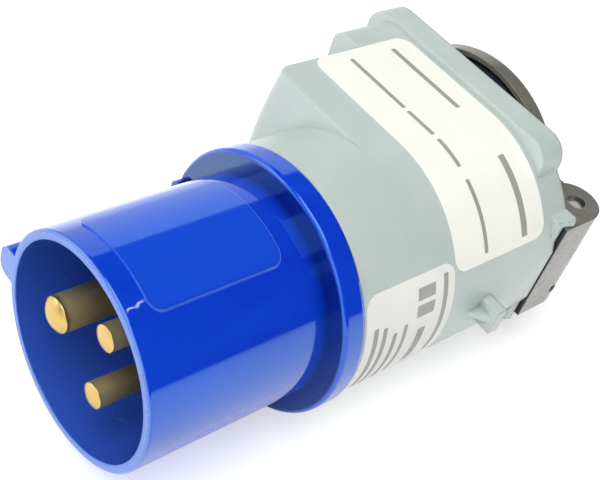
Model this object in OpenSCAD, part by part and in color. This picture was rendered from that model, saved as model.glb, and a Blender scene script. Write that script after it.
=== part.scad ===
// Plug adapter: a round three-pin plug on one end, a lidded two-pin socket on the other.
// Lengths run along X from the plug's rim; the key side is +Y and the hinge side is -Y.

/* [Plug shell] */
// outer radius of the plug's round collar
plug_r = 21.75; // [20:0.05:24]
// wall of the collar
plug_wall = 1.85; // [1.4:0.05:2.4]
// length from the rim to the front of the ring
collar_len = 37.6; // [34:0.1:42]
// radius of the ring behind the collar
ring_r = 26; // [24.5:0.1:29]
// thickness of the ring
ring_w = 5.1; // [3.5:0.1:7]
// length of the spigot that enters the housing
spigot_len = 9.3; // [7:0.1:12]
// width of the outside key
key_w = 6.6; // [5:0.1:9]
// height of the key above the collar
key_h = 3.65; // [2.5:0.05:4.2]
// length of the key
key_len = 31; // [20:0.5:34]
// height of the raised grip panel
panel_h = 0.3; // [0.15:0.05:0.6]
// length of the grip panel along the collar
panel_len = 26.8; // [18:0.2:28]
// width of the grip panel across the collar
panel_w = 23.2; // [14:0.2:26]

/* [Pins] */
// radius of the circle the pins stand on
pin_circle_r = 8.75; // [8:0.05:10]
// radius of the earth pin
earth_r = 3.5; // [3:0.05:4]
// radius of the two pole pins
pole_r = 2.5; // [2:0.05:3]
// distance of the pole pin tips behind the rim
tip_back = 1.2; // [0.5:0.1:5]
// distance of the earth pin tip behind the rim, less so it makes contact first
earth_tip_back = 0.1; // [0.1:0.1:4]
// height of the domed end of the pole pins
pole_cap = 0.7; // [0.3:0.1:2]
// height of the domed end of the earth pin
earth_cap = 1.4; // [0.5:0.1:3]
// depth of the pin cavity
cavity_depth = 33; // [30:0.1:35]
// thickness of the pin carrier
carrier_t = 12; // [9:0.1:13]

/* [Housing] */
// radius of the housing's neck and round side
neck_r = 25.4; // [24.3:0.1:26]
// wall of the housing
house_wall = 2.4; // [1.8:0.1:3]
// start of the square part
box_x = 57.8; // [55.5:0.1:64]
// reach of the square part on the key side
box_y = 30.6; // [28:0.1:33]
// radius of the bulge of that side
bulge_r = 107; // [80:1:200]
// rounding of the square part's front edge on that side
box_round = 2.5; // [1:0.1:3]
// start of the second step
step_x = 80; // [74:0.1:88]
// reach of the second step on the key side
step_y = 34.9; // [34.6:0.1:37]
// front of the rear flange
flange_x = 93.8; // [91:0.1:97]
// thickness of the rear flange
flange_t = 6.4; // [4:0.1:8]
// half the side of the square flange
flange_half = 26.7; // [26.2:0.1:30]
// radius of the flange corners
flange_corner = 5; // [2:0.1:8]
// reach of the lug on the hinge side
lug_y = 29.8; // [28:0.1:32]

/* [Socket] */
// sideways shift of the socket from the plug's axis
shift = 11.6; // [11:0.1:12]
// radius of the socket well
well_r = 19.4; // [19.2:0.05:19.6]
// depth of the socket well
well_depth = 17.6; // [17:0.1:18.5]
// half the distance between the two contacts
contact_half = 9.5; // [9:0.1:10]
// radius of a contact hole
contact_r = 2.45; // [2.4:0.05:2.8]
// half the side of the socket's plate
plate_half = 23; // [22.6:0.1:24]
// thickness of the socket's plate
plate_t = 2.4; // [2:0.1:3]
// half the spacing of the plate screws
screw_half = 19; // [18.6:0.1:19.4]

/* [Lid and hinge] */
// outer radius of the lid
lid_r = 25.4; // [24.8:0.1:25.8]
// height of the lid's rim wall
lid_h = 4.7; // [3.8:0.1:4.9]
// thickness of the lid's top
lid_t = 1.8; // [1.4:0.1:2.2]
// radius of the hinge pin
hinge_pin_r = 1.5; // [1.2:0.05:1.7]
// radius of the lid's knuckles
knuckle_r = 3; // [2.6:0.05:3.2]
// half the length of the hinge block
hinge_half = 12.9; // [12:0.1:14]
// distance of the hinge's outer face from the plug's axis
hinge_y = 24.7; // [24.2:0.1:25.4]
// radius of the dome of a hinge cheek
dome_r = 5.7; // [5.3:0.1:5.9]

/* [Clearances] */
// gap between parts that slide into each other
slip = 0.3; // [0.2:0.05:0.4]
// gap around a shank or wire in its own hole
snug = 0.1; // [0.05:0.01:0.15]
// gap between the hinge pin and its holes
run_gap = 0.06; // [0.03:0.01:0.09]

/* [Hidden] */
$fn = 96;

plug_bore = plug_r - plug_wall;
rear_bore = plug_bore + 0.7;
spigot_r = neck_r - house_wall - slip - 0.1;
ring_end = collar_len + ring_w;
spigot_end = ring_end + spigot_len;
rim_round = 0.6;
rim_inner = 0.2;
key_round = 2.4;
key_root = 6;
foot_w = 12;
foot_x = collar_len - 1.6;
foot_round = 1.5;
ring_round = 0.9;
panel_x = 4.6;
panel_angle = 88.2;
panel_corner = 2.4;

seat_x = cavity_depth + 1;
carrier_end = cavity_depth + carrier_t;
shank_extra = 0.4;
term_len = 7;
term_end = carrier_end + term_len;
pole_term_r = 4;
earth_term_r = 4.6;
wire_r = 1.6;
wire_hole = wire_r + snug;
wire_lap = 0.3;
wire_step = 0.03;
wire_end = 5;
pole_bend = 3;
earth_bend = 5;
term_screw_r = 1.4;

seal_t = 0.8;
seal_r = neck_r - 1.2;
neck_x = ring_end;
shell_screw_back = 5;
shell_screw_x = ring_end + shell_screw_back;
shell_head_r = 2.5;
shell_head_sink = 1.2;
shell_slot = 6;
neck_bore = neck_r - house_wall;
stop_t = 2.5;
stop_bore = 18.6;
stop_end = spigot_end + stop_t;
flange_end = flange_x + flange_t;
lug_x = step_x - 3.8;
lug_t = 2.6;
lug_w = 5.8;
lug_z = 0.3;
gusset_len = 3.8;
gusset_t = 1.6;
ledge_wall = 1.7;

gasket_t = 0.8;
screw_len = 9;
screw_post_r = 3.6;
head_r = 2.8;
head_h = 1.8;
slot_w = 0.7;
plate_x = flange_end + gasket_t;
plate_end = plate_x + plate_t;
well_wall = 1.4;
well_out = well_r + well_wall;
lid_wall = 1.1;
lid_round = lid_t - 0.1;
collar_out = lid_r - lid_wall - 0.7;
collar_rise = 4.8;
mouth_x = plate_end + collar_rise;
floor_x = mouth_x - well_depth;
lip_t = 1.8;
lip_r = well_r - 1.2;
lip_x = floor_x - lip_t - 0.1;
base_t = 4;
base_x = lip_x - base_t;
base_screw_r = 0.8;
base_screw_z = well_r - 0.1;
contact_out = contact_r + 1.15;
guide_gap = 0.8;
contact_len = 22.6;
contact_web = 2;
contact_head = 1;
contact_x = base_x - contact_len;
strip_t = 1.4;
strip_x = base_x - strip_t;
clip_t = 0.8;
clip_w = 6;
clip_drop = 3;
clip_y = sqrt(pow(lip_r - slip, 2) - pow(clip_w / 2, 2)) - clip_t;
earth_term_len = 9.2;
earth_term_x = strip_x - earth_term_len;
rivet_r = 1.5;
rivet_head_r = 2.4;
rivet_head = 1;
rivet_depth = 2.8;

lid_gasket_t = 0.7;
lid_top = mouth_x + lid_gasket_t + lid_t;
lid_x = lid_top - lid_h;
tab_half = 8;
tab_t = 2;
tab_drop = 0.4;
hinge_drop = 3.9;
hinge_x = lid_top - hinge_drop;
arm_lap = 4;
spring_room = 6;
spring_reach = 4.2;
dome_x = hinge_x - 0.5;
dome_y = dome_r - hinge_y;
hinge_off = dome_y - 0.4;
hinge_wall = 1.4;
hinge_front = flange_end - 2.8;
hinge_back = dome_x + dome_r;
wall_back = hinge_x + 3;
notch_top = shift - flange_half - slip;
web_x = hinge_x + 2.2;
web_rise = 6.8;
web_top = hinge_off + web_rise;
cheek_t = 3.6;
cheek_in = hinge_half - cheek_t;
drain_w = 1.9;
ledge_end = hinge_front - 0.5;
ledge_x = flange_end - 5;
ledge_y = hinge_y - 1.4;
pad_len = 11.2;
pad_x = flange_end - pad_len;
pad_y = hinge_y - 0.2;
pad_slope = (neck_r - pad_y) / (ledge_end - pad_x);
arm_drop = 1.3;
knuckle_out = cheek_in - 0.7;
knuckle_in = 3.6;
spring_wire = 0.45;
spring_r = 2.35;

y_low = -lug_y;
y_high = max(shift + flange_half, step_y);
origin_x = hinge_back / 2;
origin_y = (y_low + y_high) / 2;
origin_z = max(flange_half, ring_r);

// moves the working frame so the origin is under the middle of the part
module place() translate([-origin_x, -origin_y, origin_z]) children();
// extrudes a Y-Z outline along X
module ex(x0, x1) translate([x0, 0, 0]) rotate([90, 0, 90]) linear_extrude(x1 - x0) children();
// turns a profile of radius and X position about the X axis
module turn() rotate([90, 0, 90]) rotate_extrude() children();
module at_socket() translate([0, shift, 0]) children();
// places something at each of the four plate screws
module at_screws() at_socket() for (y = [-1, 1]) for (z = [-1, 1])
  translate([0, y * screw_half, z * screw_half]) children();
// places something at a pin: 0 earth, 1 line, 2 neutral
module at_pin(k) rotate([k * 120, 0, 0]) translate([0, pin_circle_r, 0]) children();
module tube(x0, x1, ro, ri) ex(x0, x1) difference() { circle(ro); circle(ri); }
module rod(x0, x1, r) ex(x0, x1) circle(r);
module block(x0, x1, y0, y1, z0, z1) translate([x0, y0, z0]) cube([x1 - x0, y1 - y0, z1 - z0]);
// rounded rectangle in Y and Z
module round_rect(y0, y1, z0, z1, r) {
  translate([y0 + r, z0]) square([y1 - y0 - 2 * r, z1 - z0]);
  translate([y0, z0 + r]) square([y1 - y0, z1 - z0 - 2 * r]);
  for (y = [y0 + r, y1 - r]) for (z = [z0 + r, z1 - r]) translate([y, z]) circle(r);
}
// half round on the hinge side with a straight-sided half on the key side
module d_shape(r, y1, corner) {
  difference() {
    circle(r);
    translate([0, -r - 1]) square([r + 2, 2 * r + 2]);
  }
  translate([-0.5, -r]) square([y1 - corner + 0.5, 2 * r]);
  translate([0, -r + corner]) square([y1, 2 * (r - corner)]);
  for (s = [-1, 1]) translate([y1 - corner, s * (r - corner)]) circle(corner);
}
// radial rod from the X axis, pointing along +Y before it is turned by a
module radial(a, x, r0, r1, r) rotate([a, 0, 0]) translate([x, r0, 0]) rotate([-90, 0, 0])
  cylinder(h = r1 - r0, r = r);

// collar, ring and spigot in one moulding, with the key and the raised grip panel
module plug_shell() color([0.05, 0.16, 0.75]) difference() {
  union() {
    turn() difference() {
      union() {
        translate([plug_bore, rim_round]) square([plug_wall, collar_len]);
        translate([plug_bore + rim_inner, 0]) square([plug_wall - rim_inner - rim_round, 2]);
        translate([plug_bore, rim_inner]) square([plug_wall / 2, 2]);
        translate([plug_bore + rim_inner, rim_inner]) circle(rim_inner);
        translate([plug_r - rim_round, rim_round]) circle(rim_round);
        translate([plug_bore, collar_len]) square([ring_r - ring_round - plug_bore, ring_w]);
        translate([plug_bore, collar_len + ring_round])
          square([ring_r - plug_bore, ring_w - 2 * ring_round]);
        for (x = [collar_len + ring_round, ring_end - ring_round])
          translate([ring_r - ring_round, x]) circle(ring_round);
        translate([plug_bore, ring_end - 1]) square([spigot_r - plug_bore, spigot_len + 1]);
      }
      translate([plug_bore - 1, seat_x]) square([rear_bore - plug_bore + 1, spigot_end]);
    }
    // outside key, its tip rounded
    difference() {
      ex(0, key_len) round_rect(plug_r - key_root, plug_r + key_h, -key_w / 2, key_w / 2, key_round);
      rod(-1, key_len + 1, plug_r - 0.6);
    }
    // wide foot of the key in front of the ring
    difference() {
      ex(foot_x, collar_len + 1)
        round_rect(plug_r - key_root, plug_r + key_h, -foot_w / 2, foot_w / 2, foot_round);
      rod(foot_x - 1, collar_len + 2, plug_r - 0.6);
    }
    // grip panel with rounded corners, following the collar
    intersection() {
      tube(panel_x - 2, panel_x + panel_len + 2, plug_r + panel_h, plug_r - 0.5);
      rotate([panel_angle, 0, 0]) translate([0, plug_r / 2, 0]) rotate([-90, 0, 0]) linear_extrude(plug_r)
        round_rect(panel_x, panel_x + panel_len, -panel_w / 2, panel_w / 2, panel_corner);
    }
  }
  for (a = [0, -90]) radial(a, shell_screw_x, rear_bore - 1, neck_r, term_screw_r + snug / 2);
}

// insulating disc that holds the pins, seated on the step in the shell
module pin_carrier() color([0.1, 0.11, 0.16]) difference() {
  union() {
    rod(cavity_depth, seat_x, plug_bore - slip);
    rod(seat_x, carrier_end, rear_bore - slip);
  }
  at_pin(0) rod(cavity_depth - 1, carrier_end + 1, earth_r + shank_extra + snug);
  for (k = [1, 2]) at_pin(k) rod(cavity_depth - 1, carrier_end + 1, pole_r + shank_extra + snug);
}

// one pin along X with a domed tip, a shoulder and a rear terminal
module pin_shape(r, term_r, tip, cap) difference() {
  union() {
    turn() {
      translate([0, tip]) intersection() {
        translate([0, (r * r + cap * cap) / (2 * cap)]) circle((r * r + cap * cap) / (2 * cap));
        square([r, cap]);
      }
      translate([0, tip + cap]) square([r, carrier_end - tip - cap]);
      translate([0, cavity_depth]) square([r + shank_extra, carrier_t]);
    }
    rod(carrier_end, term_end, term_r);
  }
  rod(term_end - wire_end, term_end + 1, wire_hole);
  translate([term_end - wire_end / 2, 0, 0]) rotate([-90, 0, 0])
    cylinder(h = term_r + 1, r = term_screw_r + snug / 2);
}
module earth_pin() color([0.85, 0.68, 0.32])
  at_pin(0) pin_shape(earth_r, earth_term_r, earth_tip_back, earth_cap);
module line_pin() color([0.85, 0.68, 0.32]) at_pin(1) pin_shape(pole_r, pole_term_r, tip_back, pole_cap);
module neutral_pin() color([0.85, 0.68, 0.32]) at_pin(2) pin_shape(pole_r, pole_term_r, tip_back, pole_cap);

// one terminal screw pointing along +Y from the wire at the origin, with a driver slot
module term_screw(top) difference() {
  translate([0, wire_r, 0]) rotate([-90, 0, 0]) cylinder(h = top - wire_r, r = term_screw_r);
  translate([-2, top - 0.7, -0.3]) cube([4, 1, 0.6]);
}
module pin_screws() color([0.7, 0.7, 0.72]) {
  at_pin(0) translate([term_end - wire_end / 2, 0, 0]) term_screw(earth_term_r + 1);
  for (k = [1, 2]) at_pin(k) translate([term_end - wire_end / 2, 0, 0]) term_screw(pole_term_r + 1);
}

// ring that presses the carrier forward onto its step
module carrier_ring() color([0.1, 0.11, 0.16])
  tube(carrier_end, spigot_end, rear_bore - slip, rear_bore - 2.8);

// soft ring in a recess of the housing's neck, pressed by the plug's ring
module shell_seal() color([0.05, 0.05, 0.05])
  tube(ring_end, ring_end + seal_t, seal_r - snug, spigot_r + snug);

// two screws through the neck into the spigot, on the sides away from the lug
module shell_screws() color([0.7, 0.7, 0.72]) for (a = [0, -90]) difference() {
  union() {
    radial(a, shell_screw_x, rear_bore + 0.2, neck_r - shell_head_sink, term_screw_r);
    radial(a, shell_screw_x, neck_r - shell_head_sink, neck_r - 0.2, shell_head_r);
  }
  rotate([a, 0, 0]) translate([shell_screw_x - shell_slot / 2, neck_r - 0.8, -0.3])
    cube([shell_slot, 1, 0.6]);
}

// hollow housing: round neck, stepped square part, rear flange, lug and hinge ledge
module housing() color([0.72, 0.76, 0.74]) difference() {
  union() {
    rod(neck_x, flange_end, neck_r);
    // square part with a bulging key side and a rounded front edge
    intersection() {
      block(box_x, flange_end, -0.5, box_y + 1, -neck_r, neck_r);
      translate([0, box_y - bulge_r, 0]) turn($fn = 360) {
        translate([0, box_x]) square([bulge_r - box_round, flange_end - box_x]);
        translate([0, box_x + box_round]) square([bulge_r, flange_end - box_x - box_round]);
        translate([bulge_r - box_round, box_x + box_round]) circle(box_round, $fn = 48);
      }
    }
    ex(step_x, flange_end) d_shape(neck_r, step_y, 3);
    at_socket() ex(flange_x, flange_end)
      round_rect(-flange_half, flange_half, -flange_half, flange_half, flange_corner);
    // ledge that closes in the hinge block, flaring outwards to the rear
    translate([0, 0, -hinge_half - ledge_wall]) linear_extrude(2 * (hinge_half + ledge_wall))
      polygon([[ledge_x, 0], [ledge_x, -ledge_y], [flange_end - 0.8, 0.2 - hinge_y],
        [flange_end + 0.2, 1 - hinge_y], [flange_end + 0.2, hinge_off], [flange_end - 1, hinge_off],
        [flange_end - 1, 0]]);
    // lug plate with its gusset
    block(lug_x, lug_x + lug_t, -lug_y, -neck_r + 1, lug_z - lug_w / 2, lug_z + lug_w / 2);
    translate([0, 0, lug_z - gusset_t / 2]) linear_extrude(gusset_t)
      polygon([[lug_x - gusset_len, 0.6 - neck_r], [lug_x + 0.2, 0.6 - neck_r], [lug_x + 0.2, 0.8 - lug_y]]);
  }
  rod(neck_x - 1, spigot_end, neck_bore);
  rod(neck_x - 1, neck_x + seal_t, seal_r);
  rod(spigot_end - 1, stop_end + 1, stop_bore);
  rod(stop_end, box_x + house_wall, neck_bore);
  ex(box_x + house_wall, flange_x + 0.2) d_shape(neck_bore, box_y - house_wall - 3, 2);
  difference() {
    ex(step_x + house_wall, flange_x + 0.2) d_shape(neck_bore, step_y - 2.1, 1);
    at_screws() rod(step_x, flange_x + 1, screw_post_r);
  }
  at_socket() rod(flange_x - 1, flange_end + 1, well_out + slip);
  at_screws() rod(flange_end - screw_len - 1, flange_end + 1, term_screw_r + snug / 2);
  // notch for the hinge block, open at its lower end
  block(ledge_end, flange_end + 1, -hinge_y - 5, notch_top + slip, -hinge_half - 2 * ledge_wall,
    hinge_half + slip);
  // slope that brings the round side down to the hinge's outer face
  translate([0, 0, -flange_half]) linear_extrude(2 * flange_half)
    polygon([[pad_x - 1, -neck_r - pad_slope], [ledge_end, -pad_y], [flange_end + 1, -pad_y],
      [flange_end + 1, -neck_r - 2], [pad_x - 1, -neck_r - 2]]);
  for (a = [0, -90]) {
    radial(a, shell_screw_x, neck_bore - 1, neck_r + 1, term_screw_r + snug);
    radial(a, shell_screw_x, neck_r - shell_head_sink, neck_r + 1, shell_head_r + snug);
  }
}

// plate, collar, well wall and hinge block in one moulding
module socket_frame() color([0.2, 0.2, 0.22]) difference() {
  union() {
    at_socket() ex(plate_x, plate_end) difference() {
      round_rect(-plate_half, plate_half, -plate_half, plate_half, 4);
      circle(well_out - 0.5);
    }
    at_socket() tube(plate_end - 0.5, mouth_x, collar_out, well_r);
    at_socket() tube(lip_x, plate_end, well_out, well_r);
    at_socket() tube(lip_x, floor_x - 0.1, well_out, lip_r);
    block(plate_x, plate_end, -hinge_y, shift - plate_half + 1, -hinge_half, hinge_half);
    // outer wall between the cheeks, following their outline, with a drain slot beside the lower cheek
    difference() {
      translate([0, 0, -hinge_half]) linear_extrude(2 * hinge_half) intersection() {
        cheek();
        translate([hinge_front, -hinge_y - 1]) square([wall_back - hinge_front, hinge_wall + 1]);
      }
      block(hinge_x - 1.2, hinge_back, -hinge_y - 1, hinge_off, -cheek_in, -cheek_in + drain_w);
    }
    for (s = [0, 1]) mirror([0, 0, s]) translate([0, 0, cheek_in]) linear_extrude(cheek_t) cheek();
  }
  at_screws() rod(plate_x - 1, plate_end + 1, term_screw_r + snug);
  translate([hinge_x, hinge_off, -hinge_half - 1])
    cylinder(h = 2 * hinge_half + 2, r = hinge_pin_r + run_gap);
  for (s = [0, 1]) mirror([0, 0, s]) translate([hinge_x, hinge_off, hinge_half - 1.2])
    cylinder(h = 2, r = hinge_pin_r + 0.5);
  at_socket() for (z = [-1, 1]) translate([0, 0, z * base_screw_z])
    rod(lip_x - 1, lip_x + 1.4, base_screw_r + snug / 2);
}
// outline of a hinge cheek in X and Y
// foot in the housing's notch, web beside the collar, dome round the pin
module cheek() {
  translate([hinge_front, -hinge_y]) square([dome_x - hinge_front, notch_top + hinge_y]);
  translate([plate_x, dome_y]) square([web_x - plate_x, web_top - dome_y]);
  translate([dome_x, dome_y]) circle(dome_r);
}

// insulating floor of the well, seated behind the frame's lip
module socket_base() color([0.16, 0.16, 0.17]) at_socket() difference() {
  union() {
    rod(lip_x - 0.5, floor_x, lip_r - slip);
    rod(base_x, lip_x, well_out - slip);
  }
  for (z = [-1, 1]) {
    translate([0, 0, z * contact_half]) rod(base_x - 1, floor_x + 1, contact_r + guide_gap);
    translate([0, 0, z * base_screw_z]) rod(base_x - 1, lip_x + 1, base_screw_r + snug);
    translate([0, z * contact_half, 0]) rod(base_x - 1, base_x + rivet_depth + 0.2, rivet_r + snug);
    translate([0, z * (clip_y + clip_t / 2), 0]) block(base_x - 1, floor_x + 1, -clip_t, clip_t,
      -clip_w / 2 - 0.3, clip_w / 2 + 0.3);
  }
}
// two small screws that hold the floor to the lip from behind
module base_screws() color([0.7, 0.7, 0.72]) at_socket() for (z = [-1, 1])
  translate([0, 0, z * base_screw_z]) difference() {
    union() {
      rod(base_x, lip_x + 1.2, base_screw_r);
      rod(base_x - 1.2, base_x, 2 * base_screw_r);
    }
    block(base_x - 2, base_x - 0.7, -3, 3, -0.25, 0.25);
  }

// one contact tube: pin hole from the front, wire hole and screw hole at the rear
module contact_shape() difference() {
  rod(contact_x, base_x, contact_out);
  rod(contact_x + wire_end + contact_web, base_x + 1, contact_r);
  rod(contact_x - 1, contact_x + wire_end, wire_hole);
  translate([contact_x + wire_end / 2, 0, 0]) rotate([-90, 0, 0])
    cylinder(h = contact_out + 1, r = term_screw_r + snug / 2);
}
module line_contact() color([0.8, 0.62, 0.3]) at_socket()
  translate([0, 0, contact_half]) contact_shape();
module neutral_contact() color([0.8, 0.62, 0.3]) at_socket()
  translate([0, 0, -contact_half]) contact_shape();
module contact_screws() color([0.7, 0.7, 0.72]) at_socket() for (z = [-1, 1])
  translate([contact_x + wire_end / 2, 0, z * contact_half]) term_screw(contact_out + contact_head);

// earth strip behind the floor, with two clips up the well and a wire terminal
module earth_strip() color([0.78, 0.76, 0.7]) at_socket() difference() {
  union() {
    block(strip_x, base_x, -clip_y - clip_t, clip_y + clip_t, -clip_w / 2, clip_w / 2);
    for (s = [-1, 1]) translate([0, s * (clip_y + clip_t / 2), 0])
      block(base_x - 0.1, mouth_x - clip_drop, -clip_t / 2, clip_t / 2, -clip_w / 2, clip_w / 2);
    rod(earth_term_x, strip_x + 0.1, pole_term_r);
  }
  rod(earth_term_x - 1, earth_term_x + wire_end, wire_hole);
  translate([earth_term_x + wire_end / 2, 0, 0]) rotate([-90, 0, 0])
    cylinder(h = pole_term_r + 1, r = term_screw_r + snug / 2);
  for (s = [-1, 1]) translate([0, s * contact_half, 0]) rod(strip_x - 1, base_x + 1, rivet_r + snug);
}
// two rivets that hold the strip on the floor
module earth_rivets() color([0.7, 0.7, 0.72]) at_socket() for (s = [-1, 1])
  translate([0, s * contact_half, 0]) {
    rod(strip_x - rivet_head, strip_x, rivet_head_r);
    rod(strip_x - 0.1, base_x + rivet_depth, rivet_r);
  }
module earth_terminal_screw() color([0.7, 0.7, 0.72]) at_socket()
  translate([earth_term_x + wire_end / 2, 0, 0]) term_screw(pole_term_r + 1);

// wire with two bends: starts at y0,z0, leaves along X and arrives at y1,z1
module wire(x0, y0, z0, x1, y1, z1, bend) {
  run = x1 - x0 - 2 * wire_end;
  side = sqrt(pow(y1 - y0, 2) + pow(z1 - z0, 2));
  far = sqrt(run * run + pow(side - 2 * bend, 2));
  turn_a = atan2(side - 2 * bend, run) + asin(2 * bend / far);
  straight = sqrt(far * far - 4 * bend * bend);
  translate([x0, y0, z0]) rotate([atan2(z1 - z0, y1 - y0), 0, 0]) {
    rod(0, wire_end, wire_r);
    bent(wire_end, turn_a, bend);
    translate([wire_end + bend * sin(turn_a), bend * (1 - cos(turn_a)), 0]) rotate([0, 0, turn_a])
      rod(-wire_lap, straight + wire_lap, wire_r - wire_step);
    translate([x1 - x0 - wire_end, side, 0]) {
      rotate([0, 0, 180]) bent(0, turn_a, bend);
      rod(0, wire_end, wire_r);
    }
  }
}
// quarter-like bend that starts along +X and turns towards +Y
module bent(x, a, bend) translate([x, bend, 0]) rotate([0, 0, -90]) rotate_extrude(angle = a)
  translate([bend, 0]) circle(wire_r);
pole_y = pin_circle_r * cos(120);
pole_z = pin_circle_r * sin(120);
module wire_line() color([0.35, 0.2, 0.1])
  wire(term_end - wire_end, pole_y, pole_z, contact_x + wire_end, shift, contact_half, pole_bend);
module wire_neutral() color([0.1, 0.25, 0.7])
  wire(term_end - wire_end, pole_y, -pole_z, contact_x + wire_end, shift, -contact_half, pole_bend);
module wire_earth() color([0.35, 0.65, 0.15])
  wire(term_end - wire_end, pin_circle_r, 0, earth_term_x + wire_end, shift, 0, earth_bend);

// foam sheet between the flange and the socket's plate
module frame_gasket() color([0.06, 0.06, 0.06]) at_socket() ex(flange_end, plate_x) difference() {
  round_rect(-plate_half + 0.4, plate_half - 0.4, -plate_half + 0.4, plate_half - 0.4, 3.6);
  circle(well_out + slip);
  for (y = [-1, 1]) for (z = [-1, 1])
    translate([y * screw_half, z * screw_half]) circle(term_screw_r + slip);
}
// four plate screws with slotted pan heads
module frame_screws() color([0.7, 0.7, 0.72]) at_screws() difference() {
  union() {
    rod(flange_end - screw_len, plate_end, term_screw_r);
    rod(plate_end, plate_end + head_h, head_r);
  }
  block(plate_end + head_h / 2, plate_end + head_h + 1, -head_r - 1, head_r + 1, -slot_w / 2, slot_w / 2);
}

// round lid with rim wall, finger tab and a pair of knuckles
module lid() color([0.2, 0.2, 0.22]) difference() {
  union() {
    at_socket() turn() {
      translate([0, lid_top - lid_t]) square([lid_r - lid_round, lid_t]);
      translate([lid_r - lid_wall, lid_x]) square([lid_wall, lid_h - lid_round]);
      translate([0, lid_top - lid_t]) square([lid_r, lid_t - lid_round]);
      translate([lid_r - lid_round, lid_top - lid_round]) intersection() {
        circle(lid_round);
        square(2 * lid_round);
      }
    }
    at_socket() block(lid_top - tab_drop - tab_t, lid_top - tab_drop, lid_r - lid_round, flange_half - snug,
      -tab_half, tab_half);
    block(hinge_x + 0.2, lid_top - arm_drop, hinge_off, shift - lid_r + arm_lap, -knuckle_out, knuckle_out);
    translate([hinge_x, hinge_off, -knuckle_out]) cylinder(h = 2 * knuckle_out, r = knuckle_r);
  }
  translate([hinge_x, hinge_off, -knuckle_out - 1])
    cylinder(h = 2 * knuckle_out + 2, r = hinge_pin_r + run_gap);
  block(hinge_x - spring_room, lid_top + 1, hinge_off - spring_room, hinge_off + spring_reach,
    -knuckle_in, knuckle_in);
  // room for the collar inside the rim wall
  at_socket() rod(lid_x - 1, lid_top - lid_t, lid_r - lid_wall);
}
module lid_gasket() color([0.05, 0.05, 0.05]) at_socket()
  tube(mouth_x, lid_top - lid_t, collar_out - 0.1, well_r + 0.2);
module hinge_pin() color([0.75, 0.75, 0.77]) translate([hinge_x, hinge_off, -hinge_half + 1.2])
  cylinder(h = 2 * hinge_half - 2.4, r = hinge_pin_r);

// closing spring: coils round the hinge pin, one leg on the frame and one towards the lid
module lid_spring() color([0.7, 0.7, 0.72]) translate([hinge_x, hinge_off, 0]) {
  for (k = [-2 : 2]) translate([0, 0, k * (2 * spring_wire + 0.05)]) rotate_extrude()
    translate([spring_r, 0]) circle(spring_wire, $fn = 24);
  translate([plate_end - hinge_x, -spring_r, -3 * (2 * spring_wire + 0.05)]) rotate([0, 90, 0])
    cylinder(h = hinge_x - plate_end, r = spring_wire, $fn = 24);
  translate([spring_r, 0, 3 * (2 * spring_wire + 0.05)]) rotate([-90, 0, 0])
    cylinder(h = 2.6, r = spring_wire, $fn = 24);
}

place() plug_shell();
place() pin_carrier();
place() earth_pin();
place() line_pin();
place() neutral_pin();
place() pin_screws();
place() carrier_ring();
place() shell_seal();
place() shell_screws();
place() housing();
place() socket_frame();
place() socket_base();
place() base_screws();
place() line_contact();
place() neutral_contact();
place() contact_screws();
place() earth_strip();
place() earth_rivets();
place() earth_terminal_screw();
place() wire_line();
place() wire_neutral();
place() wire_earth();
place() frame_gasket();
place() frame_screws();
place() lid();
place() lid_gasket();
place() hinge_pin();
place() lid_spring();
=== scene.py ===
"""Looks of the plug adapter: finishes of its pieces, two paper labels and a white studio."""

import math

import bmesh
import bpy
from mathutils import Matrix, Vector


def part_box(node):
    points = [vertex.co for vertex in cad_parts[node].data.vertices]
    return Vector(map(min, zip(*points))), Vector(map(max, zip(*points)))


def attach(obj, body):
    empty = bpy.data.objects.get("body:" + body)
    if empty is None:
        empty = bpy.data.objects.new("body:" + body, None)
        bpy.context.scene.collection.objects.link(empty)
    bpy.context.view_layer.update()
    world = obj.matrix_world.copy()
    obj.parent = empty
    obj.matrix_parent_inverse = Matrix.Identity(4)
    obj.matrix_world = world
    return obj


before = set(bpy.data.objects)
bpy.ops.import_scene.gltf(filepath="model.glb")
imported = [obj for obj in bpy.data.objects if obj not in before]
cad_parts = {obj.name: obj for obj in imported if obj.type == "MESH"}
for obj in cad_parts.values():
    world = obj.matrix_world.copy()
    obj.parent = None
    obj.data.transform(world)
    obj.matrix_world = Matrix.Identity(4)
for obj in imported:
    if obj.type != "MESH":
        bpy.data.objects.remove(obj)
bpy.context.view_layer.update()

MM = 0.001
DEGREE = math.pi / 180

# Where the plug's rim and axis are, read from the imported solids, in metres.
RIM_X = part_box("plug_shell")[0].x
AXIS_Y, AXIS_Z = ((low + high) / 2 for low, high in list(zip(*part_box("pin_carrier")))[1:])

# Sizes of the solids that the finishes and the labels follow, in millimetres and degrees.
# Lengths count from the rim, angles from the key side over the top.
COLLAR_R = 21.75
CAVITY_R = 19.9
NECK_R = 25.4
RING_FACE_FROM, RING_FACE_TO, RING_FACE_R = 36.8, 38.2, 25.4
PANEL_MIDDLE, PANEL_LEN = 18.0, 26.8
PANEL_ANGLE, PANEL_W, PANEL_CORNER = 88.2, 23.2, 2.4
SOCKET_Y, SEAT_IN, SEAT_OUT = 11.6, 19.7, 26.4
PIN_TIP_FROM, PIN_TIP_TO, PIN_RUBBED_TO = 1.4, 2.6, 10

# Marks and painted light on the blue shell, in the same measures.
COLLAR_DEGREE = COLLAR_R * DEGREE
SEAM_ANGLE, SEAM_FROM, SEAM_TO = -176, 3, 36
SCUFF_ANGLE, SCUFF_LEAN, SCUFF_SWAY = 115.6, 0.6, 1.8
SCUFF_FROM, SCUFF_TO = 0.9, 4.2
# The painted highlight along the panel's outline grows stronger between these lengths.
OUTLINE_WEAK_TO, OUTLINE_STRONG_FROM = 26, 31
CORNER_SHADE_FROM, CORNER_SHADE_TO = 32, 36

# The middle of a noise's range, which is spread over a pair of colours.
CLOUDY = 0.3, 0.7

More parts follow.
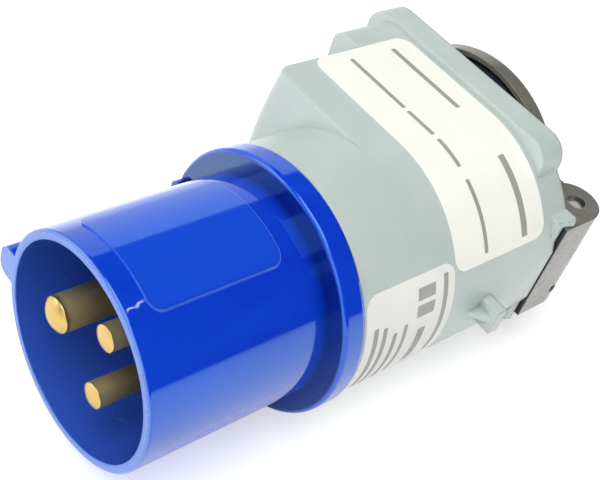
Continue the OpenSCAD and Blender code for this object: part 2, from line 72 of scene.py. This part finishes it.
# Thickness of the label's paper, of the ink on it and of the glue gap below it, in millimetres.
PAPER_T = 0.09
INK_T = 0.012
GLUE_T = 0.015
BAR_CORNER = 0.25

# How finely a label is divided: columns along it, millimetres down it, degrees round a corner.
SHEET_COLUMNS = 8
SHEET_STEP = 0.8
SHEET_TURN = 10
SHARP_EDGE = 35 * DEGREE

FLOOR_SIZE = 6
FLOOR_DROP = 0.02 * MM
FLOOR_WHITE = (0.9, 0.9, 0.9, 1)
WHITE = (1, 1, 1, 1)


def spot(x, y, z):
    """A point given in millimetres from the rim and the plug's axis, in the row frame."""
    return Vector((RIM_X + x * MM, AXIS_Y + y * MM, AXIS_Z + z * MM))


def srgb(red, green, blue):
    """A colour as it looks on screen, 0 to 255 a channel, as the linear RGBA that shaders take."""
    def linear(c):
        c /= 255
        return c / 12.92 if c <= 0.04045 else ((c + 0.055) / 1.055) ** 2.4

    return (linear(red), linear(green), linear(blue), 1.0)


class Value:
    """A shader value. Python's operators on it add Math nodes."""

    def __init__(self, finish, socket):
        self.finish, self.socket = finish, socket

    def math(self, operation, *values):
        sockets = dict(enumerate(values))
        return self.finish.node("ShaderNodeMath", {"operation": operation}, sockets)

    def __add__(self, other):
        return self.math("ADD", self, other)

    def __radd__(self, other):
        return self.math("ADD", other, self)

    def __sub__(self, other):
        return self.math("SUBTRACT", self, other)

    def __rsub__(self, other):
        return self.math("SUBTRACT", other, self)

    def __mul__(self, other):
        return self.math("MULTIPLY", self, other)

    def __rmul__(self, other):
        return self.math("MULTIPLY", other, self)

    def __truediv__(self, other):
        return self.math("DIVIDE", self, other)

    def __rtruediv__(self, other):
        return self.math("DIVIDE", other, self)

    def __abs__(self):
        return self.math("ABSOLUTE", self)

    def least(self, other):
        return self.math("MINIMUM", self, other)

    def most(self, other):
        return self.math("MAXIMUM", self, other)

    def sine(self):
        return self.math("SINE", self)

    def angle_to(self, across):
        """The angle, in degrees, of a point this far up and that far across."""
        return self.math("ARCTAN2", self, across) * (1 / DEGREE)

    def length_with(self, other):
        """The length of the slope that rises this far over the other."""
        square = self * self + other * other
        return square.math("SQRT", square)

    def rise(self, start, end):
        """0 before start, 1 after end, smooth between."""
        smooth = {"interpolation_type": "SMOOTHSTEP"}
        sockets = {"Value": self, "From Min": start, "From Max": end}
        return self.finish.node("ShaderNodeMapRange", smooth, sockets)

    def within(self, low, high, edge):
        """1 between low and high, 0 outside, with soft edges."""
        return self.rise(low - edge, low + edge) * (1 - self.rise(high - edge, high + edge))


class Finish:
    """One material, or the world, and the nodes in it."""

    def __init__(self, name, world=False):
        self.owner = bpy.data.worlds.new(name) if world else bpy.data.materials.new(name)
        self.owner.use_nodes = True
        self.tree = self.owner.node_tree
        self.tree.nodes.clear()
        self.world = world

    def node(self, kind, settings=None, sockets=None, out=0):
        """Adds a node: its settings first, then its sockets' values or links. Gives an output."""
        made = self.tree.nodes.new(kind)
        for key, value in (settings or {}).items():
            setattr(made, key, value)
        for key, value in (sockets or {}).items():
            if isinstance(value, Value):
                self.tree.links.new(value.socket, made.inputs[key])
            else:
                made.inputs[key].default_value = value
        return Value(self, made.outputs[out]) if made.outputs else None

    def place(self):
        return self.node("ShaderNodeTexCoord", out="Object")

    def facing(self):
        """The direction that the bare surface faces."""
        return self.node("ShaderNodeNewGeometry", out="Normal")

    def parts(self, vector):
        """The x, y and z of a vector."""
        first = self.node("ShaderNodeSeparateXYZ", sockets={0: vector})
        return [Value(self, output) for output in first.socket.node.outputs]

    def stretched(self, vector, scale):
        return self.node("ShaderNodeVectorMath", {"operation": "MULTIPLY"}, {0: vector, 1: scale})

    def likeness(self, first, second):
        """1 where two directions agree, less where they part."""
        dot = {"operation": "DOT_PRODUCT"}
        return self.node("ShaderNodeVectorMath", dot, {0: first, 1: second}, out="Value")

    def noise(self, vector, size, detail=2.0, roughness=0.5):
        """Noise whose blots are about size metres across."""
        sockets = {"Vector": vector, "Scale": 1 / size, "Detail": detail, "Roughness": roughness}
        return self.node("ShaderNodeTexNoise", sockets=sockets)

    def openness(self, distance, samples=8):
        """1 in the open, towards 0 in a corner with other faces within a distance."""
        sockets = {"Distance": distance}
        return self.node("ShaderNodeAmbientOcclusion", {"samples": samples}, sockets, out="AO")

    def mixed(self, amount, first, second):
        """A colour between first and second."""
        sockets = {0: amount, 6: first, 7: second}
        return self.node("ShaderNodeMix", {"data_type": "RGBA"}, sockets, out=2)

    def layered(self, colour, *layers):
        """A colour with others laid over it in turn: each layer is an amount and a colour."""
        for amount, over in layers:
            colour = self.mixed(amount, colour, over)
        return colour

    def soft_edges(self, radius):
        """The normal with every edge rounded off, as a mould leaves it."""
        return self.node("ShaderNodeBevel", {"samples": 8}, {"Radius": radius})

    def bump(self, height, depth, normal=None):
        sockets = {"Height": height, "Distance": depth, "Strength": 1.0}
        if normal:
            sockets["Normal"] = normal
        return self.node("ShaderNodeBump", sockets=sockets)

    def sight(self):
        """1 for what the camera sees straight on."""
        return self.node("ShaderNodeLightPath", out="Is Camera Ray")

    def mirrored(self):
        """1 for what is seen in a reflection or through something clear."""
        gloss = self.node("ShaderNodeLightPath", out="Is Glossy Ray")
        return gloss.most(self.node("ShaderNodeLightPath", out="Is Transmission Ray"))

    def surface(self, **sockets):
        """Ends the finish in a Principled shader. Socket names have _ for a space."""
        named = {key.replace("_", " "): value for key, value in sockets.items()}
        self.end(self.node("ShaderNodeBsdfPrincipled", sockets=named))
        return self.owner

    def end(self, shader):
        output = "ShaderNodeOutputWorld" if self.world else "ShaderNodeOutputMaterial"
        self.node(output, sockets={"Surface": shader})


def around_plug(finish, where):
    """Length along the plug, angle round it in degrees and distance from its axis, in mm."""
    x, y, z = finish.parts(where)
    along = (x - RIM_X) / MM
    across, up = (y - AXIS_Y) / MM, (z - AXIS_Z) / MM
    return along, up.angle_to(across), up.length_with(across)


def panel_edge(along, angle, reach):
    """How far outside the raised panel's outline a point is, in mm; negative inside it."""
    side = ((angle - PANEL_ANGLE) * DEGREE).sine() * reach
    past_end = abs(along - PANEL_MIDDLE) - (PANEL_LEN / 2 - PANEL_CORNER)
    past_side = abs(side) - (PANEL_W / 2 - PANEL_CORNER)
    past_corner = past_end.most(0).length_with(past_side.most(0))
    return past_corner + past_end.most(past_side).least(0) - PANEL_CORNER


def blue_gloss():
    """Glossy blue moulding: flow marks, smears, a parting line, a rubbed rim and a duller inside,
    both with a painted paler reflection, painted shade on the ring's face and corner, and a painted
    sheen and outline highlight on the raised panel.
    """
    f = Finish("blue_gloss")
    where = f.place()
    along, angle, reach = around_plug(f, where)
    flow = f.noise(f.stretched(where, (0.35, 1.0, 1.0)), 11 * MM, detail=3.0)
    smear = f.noise(f.stretched(where, (1.0, 0.5, 0.5)), 4 * MM, detail=4.0, roughness=0.6)
    ripple = f.noise(f.stretched(where, (0.3, 1.0, 1.0)), 3 * MM)
    fleck = f.noise(where, 0.8 * MM, detail=3.0)
    sway = (f.noise(where, 1.6 * MM) - 0.5) * SCUFF_SWAY

    inside = 1 - reach.rise(CAVITY_R + 0.4, CAVITY_R + 0.8)
    rim = (1 - along.rise(0.15, 0.4)) * reach.rise(CAVITY_R, CAVITY_R + 0.3)
    # Painted shade: the ring's front face and the corner in front of it are darkened toward deep
    # blue.
    ring_length = along.within(RING_FACE_FROM, RING_FACE_TO, 0.2)
    ring_face_shade = ring_length * reach.within(COLLAR_R, RING_FACE_R, 0.3)
    corner = (1 - f.openness(9 * MM)).rise(0.12, 0.55)
    ring_corner_shade = corner * along.rise(CORNER_SHADE_FROM, CORNER_SHADE_TO)

    edge = panel_edge(along, angle, reach)
    # Painted sheen: the raised panel is painted lighter than the shell around it.
    panel = (1 - edge.rise(-0.6, 0.0)) * (1 - inside)
    # Painted highlight: a pale line along the panel's outline, as a lit edge.
    outline_highlight_strength = 0.3 + along.rise(OUTLINE_WEAK_TO, OUTLINE_STRONG_FROM) * 0.4
    outline = (1 - abs(edge).rise(0.02, 0.2)) * outline_highlight_strength * (1 - inside)

    from_seam = abs(angle - SEAM_ANGLE) * COLLAR_DEGREE
    seam = (1 - from_seam.rise(0.05, 0.3)) * along.within(SEAM_FROM, SEAM_TO, 0.6)
    from_scuff = (angle - SCUFF_ANGLE + along * SCUFF_LEAN) * COLLAR_DEGREE + sway
    scuff_line = (1 - abs(from_scuff).rise(0.05, 0.36)) * along.within(SCUFF_FROM, SCUFF_TO, 0.5)
    scuff = scuff_line * (0.5 + fleck.rise(0.35, 0.6) * 0.5)

    deep_blue = srgb(4, 18, 90)
    colour = f.layered(
        f.mixed(flow.rise(*CLOUDY), srgb(9, 54, 194), srgb(12, 64, 206)),
        # painted sheen on the raised panel
        (panel * 0.5, srgb(30, 86, 218)),
        # painted shade on the ring's face and in its corner
        (ring_corner_shade.most(ring_face_shade) * 0.8, deep_blue),
        # painted reflection: the cavity is painted paler and greyer than the shell
        (inside, srgb(46, 82, 180)),
        # painted highlight along the panel's outline
        (outline, srgb(96, 150, 252)),
        (seam * 0.7, deep_blue),
        # painted reflection: the rim's end face is painted paler; its rub is in the roughness
        (rim, srgb(86, 110, 198)),
        (scuff * 0.8, srgb(205, 216, 240)),
    )
    worn = smear.rise(0.45, 0.8) * 0.1 + inside * 0.15 + rim * 0.2 + scuff * 0.4
    return f.surface(
        Base_Color=colour,
        Roughness=0.07 + worn,
        Specular_IOR_Level=1.0,
        Specular_Tint=srgb(160, 228, 255),
        Normal=f.bump(ripple, 0.004 * MM),
    )


def grey_satin():
    """Satin grey-green housing with a fine moulded grain, rounded edges and shaded corners."""
    f = Finish("grey_satin")
    where = f.place()
    cloud = f.noise(where, 18 * MM, detail=3.0)
    grain = f.noise(where, 0.35 * MM, detail=3.0, roughness=0.6)
    wave = f.noise(where, 6 * MM)
    tone = f.mixed(cloud.rise(*CLOUDY), srgb(186, 198, 195), srgb(196, 206, 202))
    corner = 1 - f.openness(4 * MM).rise(0.25, 0.75)
    wavy = f.bump(wave, 0.02 * MM, f.soft_edges(0.9 * MM))
    return f.surface(
        Base_Color=f.mixed(corner, tone, srgb(150, 160, 158)),
        Roughness=0.36 + cloud * 0.1,
        Specular_IOR_Level=0.5,
        Normal=f.bump(grain, 0.012 * MM, wavy),
    )


def dark_moulding(name, low, high, roughness, edge, shade=None):
    """Dark moulded plastic with a fine grain.

    Painted shade darkens the seat under the lid and the faces toward the plug.
    """
    f = Finish(name)
    where = f.place()
    cloud = f.noise(where, 9 * MM, detail=3.0)
    grain = f.noise(where, 0.3 * MM)
    rub = f.noise(where, 2 * MM, detail=4.0, roughness=0.65)
    colour = f.mixed(cloud.rise(*CLOUDY), low, high)
    if shade:
        _, y, z = f.parts(where)
        side, up = (y - AXIS_Y) / MM - SOCKET_Y, (z - AXIS_Z) / MM
        # Painted shade: the seat under the lid and every face turned toward the plug are darkened.
        seat = up.length_with(side).within(SEAT_IN, SEAT_OUT, 0.3)
        plug_side_shade = (0 - f.parts(f.facing())[0]).rise(0.6, 0.9)
        colour = f.mixed(seat.most(plug_side_shade), colour, shade)
    return f.surface(
        Base_Color=colour,
        Roughness=roughness + rub.rise(0.4, 0.75) * 0.14,
        Specular_IOR_Level=0.5,
        Normal=f.bump(grain, 0.008 * MM, f.soft_edges(edge)),
    )


def turned_brass():
    """Brass pins: lathe rings, draw lines, a brown tarnish, brighter tips and lighter toward the
    front.
    """
    f = Finish("turned_brass")
    where = f.place()
    rings = f.noise(f.stretched(where, (1.0, 0.12, 0.12)), 0.12 * MM)
    lines = f.noise(f.stretched(where, (0.06, 1.0, 1.0)), 0.3 * MM, detail=3.0)
    blotch = f.noise(where, 2.2 * MM, detail=4.0, roughness=0.6)
    along = (f.parts(where)[0] - RIM_X) / MM
    tip = 1 - along.rise(PIN_TIP_FROM, PIN_TIP_TO)
    # The front part of each pin is lighter and a little less metallic than its back.
    front = 1 - along.rise(PIN_TIP_TO, PIN_RUBBED_TO)
    rounded = f.soft_edges(0.4 * MM)
    corner = (1 - f.likeness(f.facing(), rounded)).rise(0.005, 0.1)
    colour = f.layered(
        f.mixed(blotch.rise(0.42, 0.72), srgb(168, 148, 102), srgb(150, 131, 89)),
        (front * (0.4 + blotch * 0.5), srgb(202, 180, 122)),
        (tip * (0.75 + lines.rise(0.35, 0.65) * 0.25), srgb(182, 153, 92)),
        (corner * tip * 0.6, srgb(226, 204, 150)),
    )
    return f.surface(
        Base_Color=colour,
        Metallic=0.85 + tip * 0.15 - (front - tip).most(0) * 0.2,
        Roughness=0.4 + blotch * 0.14 - tip * 0.14,
        Normal=f.bump(lines, 0.006 * MM, f.bump(rings, 0.003 * MM, rounded)),
    )


def bright_metal(name, low, high, roughness, metallic=1.0):
    """Plated or tinned metal with a cloudy finish and small scratches."""
    f = Finish(name)
    where = f.place()
    cloud = f.noise(where, 1.6 * MM, detail=4.0, roughness=0.6)
    scratch = f.noise(f.stretched(where, (0.15, 1.0, 1.0)), 0.4 * MM, detail=3.0)
    return f.surface(
        Base_Color=f.mixed(cloud.rise(*CLOUDY), low, high),
        Metallic=metallic,
        Roughness=roughness + cloud * 0.15,
        Normal=f.bump(scratch, 0.006 * MM, f.soft_edges(0.15 * MM)),
    )


def soft_skin(name, low, high, roughness):
    """Rubber or wire sheath: matt, a little uneven."""
    f = Finish(name)
    where = f.place()
    cloud = f.noise(where, 2.5 * MM, detail=3.0)
    grain = f.noise(where, 0.4 * MM)
    return f.surface(
        Base_Color=f.mixed(cloud.rise(*CLOUDY), low, high),
        Roughness=roughness + cloud * 0.12,
        Normal=f.bump(grain, 0.01 * MM),
    )


def label_paper(name, low, high, roughness):
    """Coated label paper or the ink on it, with a faint fibre."""
    f = Finish(name)
    where = f.place()
    cloud = f.noise(where, 12 * MM)
    fibre = f.noise(where, 0.5 * MM, detail=3.0)
    return f.surface(
        Base_Color=f.mixed(cloud.rise(*CLOUDY), low, high),
        Roughness=roughness + fibre * 0.1,
        Specular_IOR_Level=0.25,
        Normal=f.bump(fibre, 0.004 * MM),
    )


frame_moulding = dark_moulding(
    "frame_moulding", srgb(112, 110, 104), srgb(123, 121, 114), 0.22, 0.5 * MM,
    # the painted shade's colour on the frame
    shade=srgb(40, 41, 52))
lid_moulding = dark_moulding(
    "lid_moulding", srgb(104, 102, 95), srgb(115, 113, 105), 0.24, 0.3 * MM)
insulator_black = dark_moulding(
    "insulator_black", srgb(30, 34, 58), srgb(36, 40, 66), 0.4, 0.3 * MM)
floor_black = dark_moulding(
    "floor_black", srgb(40, 40, 42), srgb(48, 48, 50), 0.42, 0.3 * MM)
tinned_strip = bright_metal("tinned_strip", srgb(196, 190, 172), srgb(212, 207, 192), 0.3)
zinc_plate = bright_metal("zinc_plate", srgb(186, 188, 192), srgb(208, 208, 206), 0.24)
drawn_pin = bright_metal("drawn_pin", srgb(206, 206, 204), srgb(222, 222, 219), 0.45, 0.35)
seal_rubber = soft_skin("seal_rubber", srgb(22, 22, 23), srgb(30, 30, 31), 0.6)
brown_sheath = soft_skin("brown_sheath", srgb(96, 58, 34), srgb(110, 68, 42), 0.4)
blue_sheath = soft_skin("blue_sheath", srgb(40, 86, 176), srgb(52, 100, 190), 0.4)
green_sheath = soft_skin("green_sheath", srgb(120, 170, 52), srgb(140, 188, 64), 0.4)

FINISHES = {
    blue_gloss(): ["plug_shell"],
    grey_satin(): ["housing"],
    frame_moulding: ["socket_frame"],
    lid_moulding: ["lid"],
    insulator_black: ["pin_carrier", "carrier_ring"],
    floor_black: ["socket_base"],
    turned_brass(): ["earth_pin", "line_pin", "neutral_pin", "line_contact", "neutral_contact"],
    tinned_strip: ["earth_strip"],
    zinc_plate: [
        "pin_screws", "shell_screws", "base_screws", "contact_screws", "earth_rivets",
        "earth_terminal_screw", "frame_screws", "lid_spring",
    ],
    drawn_pin: ["hinge_pin"],
    seal_rubber: ["shell_seal", "frame_gasket", "lid_gasket"],
    brown_sheath: ["wire_line"],
    blue_sheath: ["wire_neutral"],
    green_sheath: ["wire_earth"],
}
for finish, nodes in FINISHES.items():
    for name in nodes:
        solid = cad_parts[name]
        solid.data.materials.clear()
        solid.data.materials.append(finish)


def over_housing(distance, lift):
    """The y and z, in mm, of a point on the housing, at a lift above it.

    The distance counts from the middle of its top, and where it is positive, down its round side.
    """
    if distance <= 0:
        return -distance, NECK_R + lift
    turned = distance / NECK_R
    return -(NECK_R + lift) * math.sin(turned), (NECK_R + lift) * math.cos(turned)


def lay_sheet(mesh, start, end, front, back, corner, low, high, finish):
    """Adds a thin closed sheet with round corners that follows the housing across its top."""
    turns = range(0, 91, SHEET_TURN)
    across = [corner * (1 - math.cos(turn * DEGREE)) for turn in turns]
    steps = max(4, int((end - start) / SHEET_STEP))
    straight = end - start - 2 * corner
    middle = [start + corner + straight * k / steps for k in range(1, steps)]
    stations = [start + a for a in across] + middle + [end - a for a in reversed(across)]
    columns = range(SHEET_COLUMNS)
    layers = []
    for lift in (low, high):
        rows = []
        for station in stations:
            past = corner - min(station - start, end - station, corner)
            inset = corner - math.sqrt(max(0.0, corner * corner - past * past))
            y, z = over_housing(station, lift)
            step = (back - front - 2 * inset) / SHEET_COLUMNS
            lengths = [front + inset + step * k for k in range(SHEET_COLUMNS + 1)]
            rows.append([mesh.verts.new(spot(x, y, z)) for x in lengths])
        layers.append(rows)
    under, over = layers
    quads = []
    for i in range(len(stations) - 1):
        for k in columns:
            quads.append([over[i][k], over[i][k + 1], over[i + 1][k + 1], over[i + 1][k]])
            quads.append([under[i][k], under[i + 1][k], under[i + 1][k + 1], under[i][k + 1]])
        quads.append([under[i][0], over[i][0], over[i + 1][0], under[i + 1][0]])
        quads.append([under[i][-1], under[i + 1][-1], over[i + 1][-1], over[i][-1]])
    for k in columns:
        quads.append([under[0][k], under[0][k + 1], over[0][k + 1], over[0][k]])
        quads.append([under[-1][k], over[-1][k], over[-1][k + 1], under[-1][k + 1]])
    for quad in quads:
        face = mesh.faces.new(quad)
        face.material_index = finish
        face.smooth = True


def label(name, start, end, front, back, corner, bars, paper, ink):
    """A paper label on the housing with plain grey bars: a bar is start, end, front, back in mm."""
    mesh = bmesh.new()
    lay_sheet(mesh, start, end, front, back, corner, GLUE_T, PAPER_T, 0)
    for bar in bars:
        lay_sheet(mesh, *bar, BAR_CORNER, PAPER_T, PAPER_T + INK_T, 1)
    bmesh.ops.recalc_face_normals(mesh, faces=mesh.faces)
    data = bpy.data.meshes.new(name)
    mesh.to_mesh(data)
    mesh.free()
    data.set_sharp_from_angle(angle=SHARP_EDGE)
    piece = bpy.data.objects.new(name, data)
    bpy.context.scene.collection.objects.link(piece)
    for finish in (paper, ink):
        data.materials.append(finish)
    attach(piece, "adapter")


def down_side(angle):
    """Distance down the housing's side of an angle round it, from the middle of the top."""
    return (angle - 90) * DEGREE * NECK_R


large_paper = label_paper("large_label_paper", srgb(247, 247, 238), srgb(251, 251, 244), 0.46)
small_paper = label_paper("small_label_paper", srgb(237, 237, 232), srgb(242, 242, 237), 0.46)
large_ink = label_paper("large_label_ink", srgb(158, 158, 151), srgb(168, 168, 161), 0.5)
small_ink = label_paper("small_label_ink", srgb(164, 164, 160), srgb(174, 174, 170), 0.5)

# Bars on the labels: start and end across the housing, then front and back along it, in mm.
large_bars = [
    (-24.6, -4.2, 86.4, 87.6),
    (9.2, 26.2, 85.9, 87.6),
    (-24.8, -8.3, 74.8, 75.8),
    (-7.2, 0.2, 74.8, 75.8),
    (1.6, 8.6, 74.8, 75.8),
    (11.4, 26.2, 74.8, 75.8),
]
small_bars = [
    (31.6, 48.0, 45.3, 46.5),
    (32.3, 49.0, 47.7, 48.8),
    (34.6, 48.5, 50.6, 51.7),
    (33.7, 47.5, 53.3, 54.3),
    (36.4, 46.5, 57.6, 59.6),
    (26.4, 46.0, 63.2, 64.4),
    (27.2, 29.8, 56.4, 61.0),
    (30.8, 33.4, 56.4, 61.0),
]
label(
    "large_label", start=-27.4, end=down_side(153), front=66.6, back=92.9, corner=3.0,
    bars=large_bars, paper=large_paper, ink=large_ink)
label(
    "small_label", start=down_side(145.6), end=down_side(207), front=43.3, back=66.3, corner=3.0,
    bars=small_bars, paper=small_paper, ink=small_ink)


def studio_floor():
    """A white floor that keeps the part's shadow, also in reflections, and pales far away."""
    near_glow, far_glow = 0.42, 0.3
    shaded_glow, clear_glow = 0.1, 0.9
    f = Finish("studio_floor")
    x, y, _ = f.parts(f.place())
    far = x.length_with(y).rise(0.25, 1.4)
    clear = f.openness(90 * MM, samples=16).rise(0.25, 1.0)
    seen = f.sight() * (near_glow + far * far_glow)
    reflected = f.mirrored() * (shaded_glow + clear * clear_glow)
    white = f.node("ShaderNodeBsdfDiffuse", sockets={"Color": FLOOR_WHITE})
    glow = f.node("ShaderNodeEmission", sockets={"Color": seen + reflected, "Strength": 1.0})
    f.end(f.node("ShaderNodeAddShader", sockets={0: white, 1: glow}))
    bpy.ops.mesh.primitive_plane_add(size=FLOOR_SIZE, location=(0, 0, -FLOOR_DROP))
    floor = bpy.context.object
    floor.name = "studio_floor"
    floor.data.materials.append(f.owner)


def studio_room():
    """Surroundings: white to the camera, and in reflections a dim room with a wall and a card."""
    room_light, dim_light, wall_light, card_light = 0.32, 0.04, 1.2, 0.6
    w = Finish("studio", world=True)
    x, y, z = w.parts(w.node("ShaderNodeTexCoord", out="Generated"))
    wall = y.rise(0.05, 0.25) * (1 - (z - y).rise(-0.02, 0.03))
    card = (0 - x).rise(0.5, 0.8)
    reflected = dim_light + wall * wall_light + card * card_light

    def background(colour, strength):
        sockets = {"Color": colour, "Strength": strength}
        return w.node("ShaderNodeBackground", sockets=sockets)

    room = background(WHITE, room_light)
    seen = background(reflected, 1.0)
    plain = background(WHITE, 1.0)
    lit = w.node("ShaderNodeMixShader", sockets={0: w.mirrored(), 1: room, 2: seen})
    w.end(w.node("ShaderNodeMixShader", sockets={0: w.sight(), 1: lit, 2: plain}))
    bpy.context.scene.world = w.owner


def softbox(name, place, aim, size, power):
    """A square lamp of size metres that faces aim."""
    lamp = bpy.data.lights.new(name, "AREA")
    lamp.shape, lamp.size, lamp.energy = "SQUARE", size, power
    holder = bpy.data.objects.new(name, lamp)
    holder.location = place
    holder.rotation_mode = "QUATERNION"
    holder.rotation_quaternion = (Vector(aim) - Vector(place)).to_track_quat("-Z", "Y")
    bpy.context.scene.collection.objects.link(holder)


def camera():
    """The photograph's viewpoint, found from the rims, edges and pins of the part."""
    place = spot(-77.80, -95.22, 146.95)
    heading, tilt, roll = -52.76 * DEGREE, 41.503 * DEGREE, 20.213 * DEGREE
    picture_w, focal_px, sensor_w = 600, 1118.83, 36
    level = Vector((math.cos(heading), math.sin(heading), 0))
    forward = Vector((-math.sin(heading), math.cos(heading), 0))
    ahead = forward * math.cos(tilt) - Vector((0, 0, math.sin(tilt)))
    upright = level.cross(ahead)
    right = level * math.cos(roll) + upright * math.sin(roll)
    up = upright * math.cos(roll) - level * math.sin(roll)
    lens = bpy.data.cameras.new("camera")
    lens.sensor_width = sensor_w
    lens.lens = sensor_w * focal_px / picture_w
    lens.clip_start, lens.clip_end = 0.01, 20
    holder = bpy.data.objects.new("camera", lens)
    turn = Matrix((right, up, -ahead)).transposed()
    holder.matrix_world = Matrix.Translation(place) @ turn.to_4x4()
    bpy.context.scene.collection.objects.link(holder)
    bpy.context.scene.camera = holder


studio_floor()
studio_room()
softbox("top_softbox", place=(-0.3, -0.1, 0.75), aim=(0, 0, 0.02), size=0.6, power=4.85)
softbox("key_side_softbox", place=(-0.5, 0.5, 0.3), aim=(0.02, 0, 0.04), size=0.4, power=0.95)
softbox("front_softbox", place=(-0.7, -0.35, 0.35), aim=(0, 0, 0.03), size=0.5, power=1.65)
camera()
bpy.context.scene.view_settings.view_transform = "Standard"
